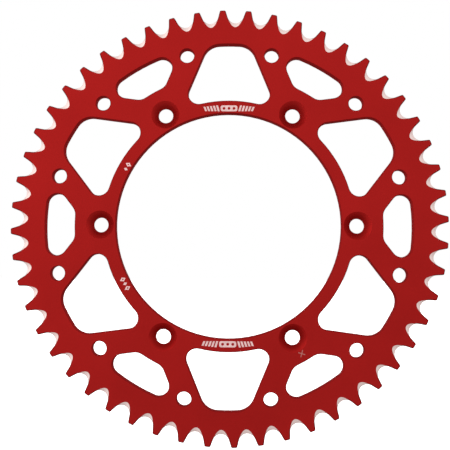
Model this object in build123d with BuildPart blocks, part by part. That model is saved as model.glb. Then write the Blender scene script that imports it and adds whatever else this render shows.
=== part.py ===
from build123d import *
import os
from math import cos, pi, radians, sin, sqrt, tan

# Rear chain sprocket: one machined, anodised aluminium plate. Millimetres.
# The sprocket turns about +Y. Its front face, with the countersinks, looks
# towards -Y; the face that beds on the wheel hub looks towards +Y. The origin
# is on the bore axis, half way through the plate.

# ---------------------------------------------------------------- dimensions
# chain (520 size)
chain_pitch = 15.875
roller_dia = 10.16
inner_link_width = 6.35
teeth = 52

# toothing
pitch_dia = chain_pitch / sin(pi / teeth)           # 262.92
seat_radius = 0.505 * roller_dia                    # roller seating radius
seat_half_angle = 70.4                              # half of the seating arc
tip_radius = 134.4
tip_corner_radius = 0.9
tooth_phase = 1.83                                  # first tooth against the first bolt
tooth_bevel = 0.55

# plate
plate_thickness = round(0.93 * inner_link_width, 1)  # 5.9, clears the inner link
bore_dia = 138.6
edge_break = 0.45

# hub bolts, M8 countersunk
bolt_circle = 158.1
bolt_count = 6
bolt_hole_dia = 9.1
countersink_dia = 17.3
countersink_angle = 90

# lightening holes in the rim, one each side of every bolt
light_hole_dia = 8.9
light_hole_radius = 108.8
light_hole_offset = 16.0                            # degrees from the bolt
light_hole_break = 0.3

# windows; every spoke is a straight bar between two parallel edges
spoke_angle = 37.5                                  # spoke edge against the bolt radius
window_outer_radius = 112.9
big_window_inner_radius = 77.35
big_window_edge = 55.15                             # edge line's distance from the axis
big_window_outer_corner = 11.0
big_window_inner_corner = 6.5
small_window_inner_radius = 94.75
small_window_edge = 69.8
small_window_outer_corner = 6.4
small_window_inner_corner = 7.5

# mud grooves, one at the root of every tooth gap, on both faces: a round
# scoop that starts at the face and runs down and out into the gap
groove_radius = 9.7                                 # of the scoop's section
groove_slope = 12.5                                 # of its floor against the face
groove_start = 123.65                               # where the floor leaves the face
groove_run = 6.4                                    # from there to its outer end

# ------------------------------------------------------------ derived values
half = plate_thickness / 2
pitch_radius = pitch_dia / 2
tooth_step = 360 / teeth
root_radius = pitch_radius - seat_radius
fall = radians(groove_slope)
front = Plane.XZ.offset(half)                       # looks towards -Y
back = Plane.XZ.offset(-half)                       # hub side, same axes

# One tooth gap, drawn on local +X: where the seating arc ends, and where the
# straight flank has run out past the tips.
seat_end = radians(seat_half_angle)
seat_end_x = pitch_radius - seat_radius * cos(seat_end)
seat_end_y = seat_radius * sin(seat_end)
run_out = (tip_radius + 3 - seat_end_x) / sin(seat_end)
flank_end_x = tip_radius + 3
flank_end_y = seat_end_y + run_out * cos(seat_end)

# Window edge lines, as y at a given x in the window's own frame (centre line
# on local +X).
small_lean = radians(spoke_angle)
big_lean = radians(60 - spoke_angle)


def big_edge(x):
    return (big_window_edge - x * sin(big_lean)) / cos(big_lean)


def small_edge(x):
    return (x * cos(small_lean) - small_window_edge) / sin(small_lean)


# ------------------------------------------------------------- mud groove tool
# Drawn in the plane of the sprocket's profile: X out along the middle of a
# tooth gap, Z towards the front face.
scoop_start = Vector(groove_start, 0, half) + Vector(sin(fall), 0, cos(fall)) * groove_radius
scoop_way = Vector(cos(fall), 0, -sin(fall))
with BuildPart() as scoop:
    with BuildSketch(Plane(origin=scoop_start - scoop_way * 2, x_dir=(0, 1, 0), z_dir=scoop_way)):
        Circle(groove_radius)
    extrude(amount=groove_run + 2)
    mirror(about=Plane.XY)

# ------------------------------------------------------------------ the part
with BuildPart() as sprocket:
    # toothed blank, with its sharp outline bevelled on both faces
    with BuildSketch(back) as outline:
        Circle(tip_radius)
        with PolarLocations(0, teeth, start_angle=tooth_phase + tooth_step / 2):
            with BuildLine(mode=Mode.PRIVATE) as gap:
                Line((flank_end_x, -flank_end_y), (seat_end_x, -seat_end_y))
                ThreePointArc((seat_end_x, -seat_end_y), (root_radius, 0), (seat_end_x, seat_end_y))
                Line((seat_end_x, seat_end_y), (flank_end_x, flank_end_y))
                Line((flank_end_x, flank_end_y), (flank_end_x, -flank_end_y))
            add(make_face(gap.edges(), mode=Mode.PRIVATE), mode=Mode.SUBTRACT)
        corners = [v for v in outline.vertices() if abs(Vector(v.X, v.Y, v.Z).length - tip_radius) < 0.01]
        fillet(corners, tip_corner_radius)
    extrude(amount=plate_thickness)
    rims = sprocket.faces().filter_by(Axis.Y).edges()
    chamfer(rims, tooth_bevel)

    # bore that centres on the wheel hub
    with BuildSketch(back):
        Circle(bore_dia / 2)
    extrude(amount=plate_thickness, mode=Mode.SUBTRACT)

    # six wide windows between the spokes, each centred between two bolts
    with BuildSketch(back) as big_windows:
        with BuildSketch(mode=Mode.PRIVATE) as big_window:
            Circle(window_outer_radius)
            Circle(big_window_inner_radius, mode=Mode.SUBTRACT)
            with BuildLine():
                Polyline(
                    (50, -big_edge(50)), (130, -big_edge(130)), (130, big_edge(130)), (50, big_edge(50)), close=True
                )
            make_face(mode=Mode.INTERSECT)
            ends = big_window.vertices().group_by(Axis.X)
            fillet(ends[0], big_window_inner_corner)
            ends = [v for v in big_window.vertices() if abs(Vector(v.X, v.Y, v.Z).length - window_outer_radius) < 0.01]
            fillet(ends, big_window_outer_corner)
        with PolarLocations(0, bolt_count, start_angle=180 / bolt_count):
            add(big_window.sketch)
    extrude(amount=plate_thickness, mode=Mode.SUBTRACT)

    # six small windows, each outboard of a bolt
    with BuildSketch(back) as small_windows:
        with BuildSketch(mode=Mode.PRIVATE) as small_window:
            Circle(window_outer_radius)
            Circle(small_window_inner_radius, mode=Mode.SUBTRACT)
            with BuildLine():
                Polyline((small_window_edge / cos(small_lean), 0), (130, -small_edge(130)), (130, small_edge(130)), close=True)
            make_face(mode=Mode.INTERSECT)
            ends = small_window.vertices().group_by(Axis.X)
            fillet(ends[0], small_window_inner_corner)
            ends = [v for v in small_window.vertices() if abs(Vector(v.X, v.Y, v.Z).length - window_outer_radius) < 0.01]
            fillet(ends, small_window_outer_corner)
        with PolarLocations(0, bolt_count):
            add(small_window.sketch)
    extrude(amount=plate_thickness, mode=Mode.SUBTRACT)

    # break the edges of the bore and the windows on both faces
    inner_edges = [
        e
        for f in sprocket.faces().filter_by(Axis.Y)
        for wire in f.inner_wires()
        for e in wire.edges()
    ]
    chamfer(inner_edges, edge_break)

    # lightening holes in the rim
    with Locations(front):
        for side in (-1, 1):
            with PolarLocations(light_hole_radius, bolt_count, start_angle=side * light_hole_offset):
                Hole(light_hole_dia / 2)
    hole_edges = [
        e
        for e in sprocket.edges().filter_by(GeomType.CIRCLE)
        if abs(e.radius - light_hole_dia / 2) < 0.01 and abs(Vector(*e.arc_center).length - sqrt(light_hole_radius**2 + half**2)) < 0.01
    ]
    chamfer(hole_edges, light_hole_break)

    # bolt holes, countersunk from the front
    with Locations(front):
        with PolarLocations(bolt_circle / 2, bolt_count):
            CounterSinkHole(bolt_hole_dia / 2, countersink_dia / 2, counter_sink_angle=countersink_angle)

    # mud grooves at the root of every tooth gap
    with Locations(Plane.XZ):
        with PolarLocations(0, teeth, start_angle=tooth_phase + tooth_step / 2):
            add(scoop.part, mode=Mode.SUBTRACT)

sprocket.part.label = "sprocket"
os.makedirs("parts", exist_ok=True)
export_step(sprocket.part, "parts/sprocket.step")

print("teeth", teeth, "pitch diameter %.2f" % pitch_dia, "root diameter %.2f" % (2 * root_radius))
print("volume %.1f cm3" % (sprocket.part.volume / 1000), "faces", len(sprocket.faces()), "valid", sprocket.part.is_valid)
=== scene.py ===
from math import cos, pi, radians, sin

import bpy
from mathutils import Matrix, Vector
from mathutils.geometry import tessellate_polygon


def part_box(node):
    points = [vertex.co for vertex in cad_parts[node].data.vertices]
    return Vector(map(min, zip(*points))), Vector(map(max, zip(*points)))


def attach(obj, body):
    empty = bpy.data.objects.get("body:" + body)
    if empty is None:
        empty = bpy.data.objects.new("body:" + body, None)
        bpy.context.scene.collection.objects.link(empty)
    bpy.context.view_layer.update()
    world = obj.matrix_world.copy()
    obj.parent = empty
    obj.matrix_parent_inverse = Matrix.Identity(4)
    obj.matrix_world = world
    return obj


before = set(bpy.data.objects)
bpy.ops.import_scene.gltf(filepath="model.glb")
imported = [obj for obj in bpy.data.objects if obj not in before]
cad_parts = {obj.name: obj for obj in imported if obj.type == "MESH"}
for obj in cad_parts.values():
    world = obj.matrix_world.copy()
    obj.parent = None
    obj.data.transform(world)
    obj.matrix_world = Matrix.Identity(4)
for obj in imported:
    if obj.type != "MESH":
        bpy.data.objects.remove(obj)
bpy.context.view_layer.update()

# ---------------------------------------------------------------- the object
# Metres. The sprocket turns about +Y; its front face looks towards -Y.
lo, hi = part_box("sprocket")
FRONT = lo[1]                        # plane of the countersunk face
BACK = hi[1]                         # plane of the hub face
FLOOR = lo[2]
TEETH = 52
STEP = 2 * pi / TEETH
GAP_PHASE = radians(1.83) + STEP / 2  # middle of a tooth gap
GROOVE_START = 0.12365               # where a mud groove's floor leaves the face
GROOVE_RADIUS = 0.0097               # of the groove's section
GROOVE_FALL = radians(12.5)          # slope of its floor
BOLT_R = 0.07905
CSK_RADIUS = 0.00865


# ------------------------------------------------------------ node shorthand
class Tree:
    """Short names for building a node tree."""

    def __init__(self, tree):
        self.t = tree

    def new(self, kind, **props):
        n = self.t.nodes.new(kind)
        for k, v in props.items():
            setattr(n, k, v)
        return n

    def put(self, socket, value):
        if isinstance(value, bpy.types.NodeSocket):
            self.t.links.new(value, socket)
        elif value is not None:
            socket.default_value = value

    def m(self, op, a, b=None, c=None, clamp=False):
        n = self.new("ShaderNodeMath", operation=op, use_clamp=clamp)
        for s, v in zip(n.inputs, (a, b, c)):
            self.put(s, v)
        return n.outputs[0]

    def add(self, a, b): return self.m("ADD", a, b)
    def sub(self, a, b): return self.m("SUBTRACT", a, b)
    def mul(self, a, b): return self.m("MULTIPLY", a, b)
    def madd(self, a, b, c): return self.m("MULTIPLY_ADD", a, b, c)

    def ramp(self, value, lo, hi, out_lo=0.0, out_hi=1.0, smooth=True):
        """value from lo..hi to out_lo..out_hi, clamped."""
        n = self.new("ShaderNodeMapRange", interpolation_type="SMOOTHSTEP" if smooth else "LINEAR")
        self.put(n.inputs["Value"], value)
        for k, v in (("From Min", lo), ("From Max", hi), ("To Min", out_lo), ("To Max", out_hi)):
            self.put(n.inputs[k], v)
        return n.outputs["Result"]

    def mix(self, f, a, b):
        """Number between a and b."""
        n = self.new("ShaderNodeMix", data_type="FLOAT")
        for s, v in zip((n.inputs[0], n.inputs[2], n.inputs[3]), (f, a, b)):
            self.put(s, v)
        return n.outputs[0]

    def mixc(self, f, a, b, blend="MIX"):
        """Colour between a and b."""
        n = self.new("ShaderNodeMix", data_type="RGBA", blend_type=blend)
        for s, v in zip((n.inputs[0], n.inputs[6], n.inputs[7]), (f, a, b)):
            self.put(s, v)
        return n.outputs[2]

    def xyz(self, v):
        n = self.new("ShaderNodeSeparateXYZ")
        self.put(n.inputs[0], v)
        return n.outputs

    def vec(self, x, y, z):
        n = self.new("ShaderNodeCombineXYZ")
        for s, v in zip(n.inputs, (x, y, z)):
            self.put(s, v)
        return n.outputs[0]

    def noise(self, vector, scale, detail=2.0, rough=0.5, distortion=0.0):
        n = self.new("ShaderNodeTexNoise")
        self.put(n.inputs["Vector"], vector)
        for k, v in (("Scale", scale), ("Detail", detail), ("Roughness", rough), ("Distortion", distortion)):
            self.put(n.inputs[k], v)
        return n.outputs[0]

    def bump(self, height, strength, distance, normal=None):
        n = self.new("ShaderNodeBump")
        self.put(n.inputs["Height"], height)
        self.put(n.inputs["Strength"], strength)
        self.put(n.inputs["Distance"], distance)
        self.put(n.inputs["Normal"], normal)
        return n.outputs[0]


def material(name):
    mat = bpy.data.materials.new(name)
    mat.use_nodes = True
    mat.node_tree.nodes.clear()
    t = Tree(mat.node_tree)
    shader = t.new("ShaderNodeBsdfPrincipled")
    out = t.new("ShaderNodeOutputMaterial")
    mat.node_tree.links.new(shader.outputs[0], out.inputs[0])
    return mat, t, shader


def rgb(r, g, b):
    """sRGB bytes to a linear colour."""
    def lin(c):
        c /= 255
        return c / 12.92 if c <= 0.04045 else ((c + 0.055) / 1.055) ** 2.4
    return (lin(r), lin(g), lin(b), 1.0)


def polar_cell(t, x, z, pitch, phase):
    """Coordinates (across, out) of a point in the nearest of the cells that repeat round the bore axis."""
    angle = t.m("ARCTAN2", z, x)
    radius = t.m("SQRT", t.add(t.mul(x, x), t.mul(z, z)))
    turns = t.mul(t.sub(angle, phase), 1 / pitch)
    part = t.mul(t.sub(turns, t.m("ROUND", turns)), pitch)
    return t.mul(radius, t.m("SINE", part)), t.mul(radius, t.m("COSINE", part)), radius


def gap_to(t, u, v, at):
    """Distance in the plane from (u, v) to (0, at)."""
    dv = t.sub(v, at)
    return t.m("SQRT", t.add(t.mul(u, u), t.mul(dv, dv)))


# ------------------------------------------------------- anodised aluminium
def anodised():
    mat, t, shader = material("red_anodised_aluminium")
    coord = t.new("ShaderNodeTexCoord")
    p = coord.outputs["Object"]
    x, y, z = t.xyz(p)
    nx, ny, nz = t.xyz(coord.outputs["Normal"])
    facing = t.m("ABSOLUTE", ny)
    is_face = t.ramp(facing, 0.93, 0.985)
    is_wall = t.ramp(facing, 0.30, 0.15)
    is_slope = t.m("MULTIPLY", t.sub(1.0, is_face), t.sub(1.0, is_wall), clamp=True)

    gu, gv, radius = polar_cell(t, x, z, STEP, GAP_PHASE)
    # the groove meets the face in an ellipse: inside is below zero
    reach = t.sub(gv, GROOVE_START)
    outline = t.sub(t.mul(gu, gu), t.mul(reach, t.sub(2 * GROOVE_RADIUS * sin(GROOVE_FALL), t.mul(reach, sin(GROOVE_FALL) ** 2))))
    below = t.ramp(t.m("ABSOLUTE", y), BACK - 0.000004, BACK - 0.000012)
    bare = t.mul(t.mul(t.ramp(outline, 2e-7, 1e-7), below), t.sub(1.0, is_wall))

    bu, bv, _ = polar_cell(t, x, z, pi / 3, 0.0)
    bolt_d = gap_to(t, bu, bv, BOLT_R)
    countersink = t.mul(t.ramp(bolt_d, CSK_RADIUS + 0.0001, CSK_RADIUS), is_slope)
    is_open = t.m("MAXIMUM", is_face, countersink)

    # colour: the dye is a little uneven over a hand's breadth, and the etched
    # surface under it gives a fine grain
    cloud = t.noise(p, 22.0, 3.0, 0.55)
    grain = t.noise(p, 2600.0, 2.0, 0.6)
    tone = t.add(t.ramp(cloud, 0.3, 0.7, 0.95, 1.05, smooth=False), t.ramp(grain, 0.3, 0.7, -0.05, 0.05, smooth=False))
    red = t.mixc(1.0, RED, t.vec(tone, tone, tone), "MULTIPLY")
    # painted shade and highlight: the countersink's red is darker near the hole and lighter towards its rim
    painted_cone_shade = t.mix(countersink, 1.0, t.ramp(bolt_d, 0.0054, 0.0088, 0.82, 1.22))
    red = t.mixc(1.0, red, t.vec(painted_cone_shade, painted_cone_shade, painted_cone_shade), "MULTIPLY")
    # painted shade: the bore and window walls, the tooth bevels and the broken edges get darker reds than the face
    inside = t.ramp(radius, 0.1165, 0.1175, 1.0, 0.0)
    edge_shade_red = t.mixc(is_wall, t.mixc(inside, RED_BEVEL_SHADE, RED_BROKEN_EDGE_SHADE), RED_WALL_SHADE)
    edge_shade_red = t.mixc(1.0, edge_shade_red, t.vec(tone, tone, tone), "MULTIPLY")
    red = t.mixc(is_open, edge_shade_red, red)

    # bare machined metal in the mud grooves: scored along by the cutter
    ring = t.m("SINE", t.mul(gu, 2 * pi / 0.00024))
    scratch = t.noise(t.vec(t.mul(gu, 9000.0), t.mul(gv, 500.0), t.mul(y, 500.0)), 1.0, 2.0, 0.6)
    silver_grain_and_shade = t.add(t.ramp(scratch, 0.3, 0.7, 0.88, 1.02, smooth=False), t.mul(ring, 0.02))
    # painted shade: the groove's bare metal is darker towards its outer end, at the root of the gap
    silver_grain_and_shade = t.mul(silver_grain_and_shade, t.ramp(gv, 0.1248, 0.1258, 1.02, 0.94))
    silver = t.mixc(1.0, SILVER, t.vec(silver_grain_and_shade, silver_grain_and_shade, silver_grain_and_shade), "MULTIPLY")
    t.put(shader.inputs["Base Color"], t.mixc(bare, red, silver))

    shader.inputs["Metallic"].default_value = 0.9
    shader.inputs["Specular Tint"].default_value = EDGE_TINT

    # roughness: satin faces, slightly coarser cut walls
    patches = t.noise(p, 60.0, 3.0, 0.6)
    rough = t.add(t.ramp(patches, 0.3, 0.7, 0.36, 0.44, smooth=False), t.ramp(grain, 0.3, 0.7, -0.03, 0.03, smooth=False))
    rough = t.mix(is_wall, rough, t.add(rough, 0.08))
    rough = t.mix(bare, rough, t.add(t.ramp(scratch, 0.3, 0.7, 0.42, 0.52, smooth=False), 0.0))
    t.put(shader.inputs["Roughness"], rough)

    # relief: fine etched grain everywhere, cutter passes along the walls,
    # turned rings in the countersinks and the grooves
    passes = t.noise(t.vec(t.mul(x, 60.0), t.mul(y, 5200.0), t.mul(z, 60.0)), 1.0, 2.0, 0.5)
    turned = t.m("SINE", t.mul(bolt_d, 2 * pi / 0.00035))
    height = t.mul(grain, 0.35)
    height = t.add(height, t.mul(t.mul(passes, is_wall), 1.2))
    height = t.add(height, t.mul(t.mul(turned, countersink), 0.25))
    height = t.add(height, t.mul(t.mul(ring, bare), 0.35))
    t.put(shader.inputs["Normal"], t.bump(height, 0.35, 0.00002))
    return mat


RED = (0.390, 0.0132, 0.0120, 1.0)
RED_WALL_SHADE = (0.310, 0.0100, 0.0100, 1.0)      # painted shade on the walls of the bore and the windows
RED_BEVEL_SHADE = (0.180, 0.0070, 0.0070, 1.0)     # painted shade on the bevels of the teeth
RED_BROKEN_EDGE_SHADE = (0.290, 0.0095, 0.0095, 1.0)    # painted shade on the broken edges of the bore, the windows and the holes
EDGE_TINT = (0.30, 0.05, 0.05, 1.0)   # what the dyed layer mirrors at a grazing angle
SILVER = (0.88, 0.70, 0.665, 1.0)
ETCHED = (0.86, 0.60, 0.58, 1.0)
ETCHED_DULL = (0.50, 0.19, 0.17, 1.0)

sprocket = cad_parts["sprocket"]
mat = anodised()
for s in sprocket.material_slots:
    s.material = mat
if not sprocket.material_slots:
    sprocket.data.materials.append(mat)


# ------------------------------------------------- marks on the inner ring
# Plain ornaments and tally shapes, a few hundredths of a millimetre proud of
# the front face. Outlines are in millimetres, across (u) and out (v).
PROUD = 0.00002


def rect(u, v, w, h, lean=0.0):
    """A bar centred on (u, v), its top shifted sideways by lean."""
    return [(u - w / 2 - lean / 2, v - h / 2), (u + w / 2 - lean / 2, v - h / 2),
            (u + w / 2 + lean / 2, v + h / 2), (u - w / 2 + lean / 2, v + h / 2)]


def disc(u, v, r, n=24):
    return [(u + r * cos(2 * pi * i / n), v + r * sin(2 * pi * i / n)) for i in range(n)]


def pill(u, v, w, h, r, n=8):
    """A bar with round corners."""
    pts = []
    for k, (su, sv) in enumerate(((1, -1), (1, 1), (-1, 1), (-1, -1))):
        cu, cv = u + su * (w / 2 - r), v + sv * (h / 2 - r)
        for i in range(n + 1):
            a = -pi / 2 + (k + i / n) * pi / 2
            pts.append((cu + r * cos(a), cv + r * sin(a)))
    return pts


def mark(name, shapes, place, finish):
    """A thin plate for each shape, a list of an outline and its holes; place takes (u, v) to (x, z) in metres."""
    verts, faces = [], []
    for loops in shapes:
        loops = [[Vector((*place(u, v), 0.0)) for u, v in loop] for loop in loops]
        flat = [p for loop in loops for p in loop]
        n, at = len(flat), len(verts)
        verts += [(p.x, FRONT - PROUD, p.y) for p in flat]
        verts += [(p.x, FRONT + PROUD, p.y) for p in flat]
        for a, b, c in tessellate_polygon(loops):
            turn = (flat[b] - flat[a]).cross(flat[c] - flat[a]).z
            if turn < 0:
                a, c = c, a
            faces.append((at + a, at + b, at + c))
            faces.append((at + n + c, at + n + b, at + n + a))
        start = at
        for k, loop in enumerate(loops):
            m = len(loop)
            area = sum(loop[i].x * loop[(i + 1) % m].y - loop[(i + 1) % m].x * loop[i].y for i in range(m))
            for i in range(m):
                a, b = start + i, start + (i + 1) % m
                if (area > 0) == (k > 0):
                    a, b = b, a
                faces.append((b, a, a + n, b + n))
            start += m
    me = bpy.data.meshes.new(name)
    me.from_pydata(verts, [], faces)
    me.validate()
    me.update()
    piece = bpy.data.objects.new(name, me)
    bpy.context.scene.collection.objects.link(piece)
    me.materials.append(finish)
    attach(piece, "root")
    return piece


def etching(name, colour):
    """Bare metal under a laser mark: pale, with the hatching of the beam and a blush of dye left in it."""
    mat, t, shader = material(name)
    coord = t.new("ShaderNodeTexCoord")
    p = coord.outputs["Object"]
    x, y, z = t.xyz(p)
    speck = t.noise(p, 3000.0, 3.0, 0.6)
    blotch = t.noise(p, 500.0, 2.0, 0.5)
    hatch = t.m("SINE", t.mul(t.add(x, t.mul(z, 0.6)), 2 * pi / 0.00012))
    tone = t.add(t.ramp(blotch, 0.3, 0.7, 0.90, 1.08, smooth=False), t.mul(hatch, 0.03))
    pale = t.mixc(1.0, colour, t.vec(tone, tone, tone), "MULTIPLY")
    t.put(shader.inputs["Base Color"], t.mixc(t.ramp(speck, 0.52, 0.72, 0.0, 0.35), pale, RED))
    shader.inputs["Metallic"].default_value = 0.8
    t.put(shader.inputs["Roughness"], t.ramp(speck, 0.3, 0.7, 0.46, 0.62, smooth=False))
    t.put(shader.inputs["Normal"], t.bump(t.add(t.mul(hatch, 0.4), speck), 0.3, 0.00001))
    return mat


etched = etching("laser_etched_metal", ETCHED)
faint = etching("laser_etched_faint", ETCHED_DULL)


def band(turn):
    """Places an ornament on the ring above the bore, or below it when turned."""
    return lambda u, v: (turn * u / 1000, turn * (72.4 + v) / 1000)


ornament = [[pill(0, 0, 10.4, 3.7, 1.2)] + [disc(3.1 * k, 0, 0.85)[::-1] for k in (-1, 0, 1)]]
for side in (-1, 1):
    for i in range(5):
        ornament.append([rect(side * (6.9 + 1.95 * i), -0.1 * i, 1.25, 3.7 - 0.25 * i, side * 1.1)])
mark("ring_ornament_upper", ornament, band(1), etched)
mark("ring_ornament_lower", ornament, band(-1), etched)


def around(angle, r):
    """Places a shape on the front face, upright along the radius at this angle in degrees."""
    a = radians(angle)
    return lambda u, v: (((r + v) * cos(a) - u * sin(a)) / 1000, ((r + v) * sin(a) + u * cos(a)) / 1000)


def diamond(u, v, w, h):
    return [(u, v - h / 2), (u + w / 2, v), (u, v + h / 2), (u - w / 2, v)]


def open_diamond(u, w=2.7, h=3.9, wall=0.36):
    return [diamond(u, 0, w, h), diamond(u, 0, w * wall, h * wall)[::-1]]


mark("tally_pair", [open_diamond(-1.6), [diamond(1.6, 0, 1.9, 2.7)]], around(150.3, 72.2), etched)
mark("tally_row", [open_diamond(-3.0), [diamond(0, 0, 1.9, 2.7)], open_diamond(3.0)], around(209.9, 72.6), etched)
mark(
    "inspection_cross",
    [[[(-1.7, -1.35), (-1.35, -1.7), (0, -0.35), (1.35, -1.7), (1.7, -1.35), (0.35, 0),
       (1.7, 1.35), (1.35, 1.7), (0, 0.35), (-1.35, 1.7), (-1.7, 1.35), (-0.35, 0)]]],
    around(-60.0, 89.65),
    faint,
)


# --------------------------------------------------------------- the studio
def studio():
    # floor under the lowest teeth
    me = bpy.data.meshes.new("floor")
    s, zf = 6.0, FLOOR - 0.0002
    me.from_pydata([(-s, -s, zf), (s, -s, zf), (s, s, zf), (-s, s, zf)], [], [(0, 1, 2, 3)])
    floor = bpy.data.objects.new("floor", me)
    bpy.context.scene.collection.objects.link(floor)
    mat = bpy.data.materials.new("floor_paper")
    mat.use_nodes = True
    mat.node_tree.nodes.clear()
    t = Tree(mat.node_tree)
    diffuse = t.new("ShaderNodeBsdfDiffuse")
    diffuse.inputs[0].default_value = (0.92, 0.92, 0.92, 1)
    glow = t.new("ShaderNodeEmission")
    glow.inputs[0].default_value = (1, 1, 1, 1)
    glow.inputs[1].default_value = 1.0
    both = t.new("ShaderNodeAddShader")
    out = t.new("ShaderNodeOutputMaterial")
    mat.node_tree.links.new(diffuse.outputs[0], both.inputs[0])
    mat.node_tree.links.new(glow.outputs[0], both.inputs[1])
    mat.node_tree.links.new(both.outputs[0], out.inputs[0])
    me.materials.append(mat)
    floor.visible_glossy = False
    floor.visible_diffuse = False

    # white backdrop for the eye, and a soft light tent for the metal: bright
    # ahead and behind, dimmer at the sides, darkest underneath
    world = bpy.data.worlds.new("studio")
    bpy.context.scene.world = world
    world.use_nodes = True
    world.node_tree.nodes.clear()
    t = Tree(world.node_tree)
    coord = t.new("ShaderNodeTexCoord")
    dx, dy, dz = t.xyz(coord.outputs["Generated"])
    along = t.m("ABSOLUTE", dy)
    base = t.mul(t.ramp(along, 0.0, 0.45, TENT_SIDE, TENT_RING), t.ramp(along, 0.60, 1.0, 1.0, TENT_FRONT / TENT_RING))
    rise = t.ramp(dz, -0.35, 0.35, 1.0 - TENT_UP, 1.0 + TENT_UP)
    side = t.m("MAXIMUM", t.m("MINIMUM", t.mul(dx, t.m("ABSOLUTE", dx)), 0.45), -0.45)
    wide = t.m("MAXIMUM", t.m("MINIMUM", t.sub(t.mul(dx, dx), t.mul(dz, dz)), 0.45), -0.45)
    # evener again where the light comes from the edges of the tent
    centred = t.ramp(along, 0.25, 0.60, 0.35, 1.0)
    lean = t.mul(t.add(1.0, t.mul(t.mul(side, centred), -TENT_LEFT)), t.add(1.0, t.mul(t.mul(wide, centred), TENT_WIDE)))
    lean = t.mul(lean, t.ramp(dx, -0.62, -0.42, 1.16, 1.0))
    level = t.mul(t.mul(base, rise), lean)
    tent = t.new("ShaderNodeBackground")
    t.put(tent.inputs[1], level)
    sky = t.new("ShaderNodeBackground")
    sky.inputs[0].default_value = (1, 1, 1, 1)
    sky.inputs[1].default_value = 1.0
    path = t.new("ShaderNodeLightPath")
    pick = t.new("ShaderNodeMixShader")
    out = t.new("ShaderNodeOutputWorld")
    t.put(pick.inputs[0], path.outputs["Is Camera Ray"])
    world.node_tree.links.new(tent.outputs[0], pick.inputs[1])
    world.node_tree.links.new(sky.outputs[0], pick.inputs[2])
    world.node_tree.links.new(pick.outputs[0], out.inputs[0])

    # one large soft box, high on the left in front
    data = bpy.data.lights.new("soft_box", "AREA")
    data.shape = "RECTANGLE"
    data.size, data.size_y = 0.9, 0.9
    data.energy = 0.6
    lamp = bpy.data.objects.new("soft_box", data)
    bpy.context.scene.collection.objects.link(lamp)
    lamp.location = (-0.55, -0.95, 0.85)
    aim = Vector((0, 0, 0)) - lamp.location
    lamp.rotation_euler = aim.to_track_quat("-Z", "Y").to_euler()


TENT_FRONT, TENT_RING, TENT_SIDE = 1.05, 1.32, 0.50
TENT_UP, TENT_LEFT, TENT_WIDE = 0.22, 0.39, 0.28
studio()

# ---------------------------------------------------------------- the camera
data = bpy.data.cameras.new("camera")
data.sensor_width = 36.0
data.lens = 57.18
data.clip_start, data.clip_end = 0.02, 60
camera = bpy.data.objects.new("camera", data)
bpy.context.scene.collection.objects.link(camera)
camera.location = (0.0080006, -0.4400042, -0.0262226)
camera.rotation_euler = (radians(93.44321), radians(-0.34391), radians(1.29702))
bpy.context.scene.camera = camera

scene = bpy.context.scene
scene.view_settings.view_transform = "Standard"
scene.view_settings.look = "None"
scene.view_settings.exposure = 0.0
scene.view_settings.gamma = 1.0
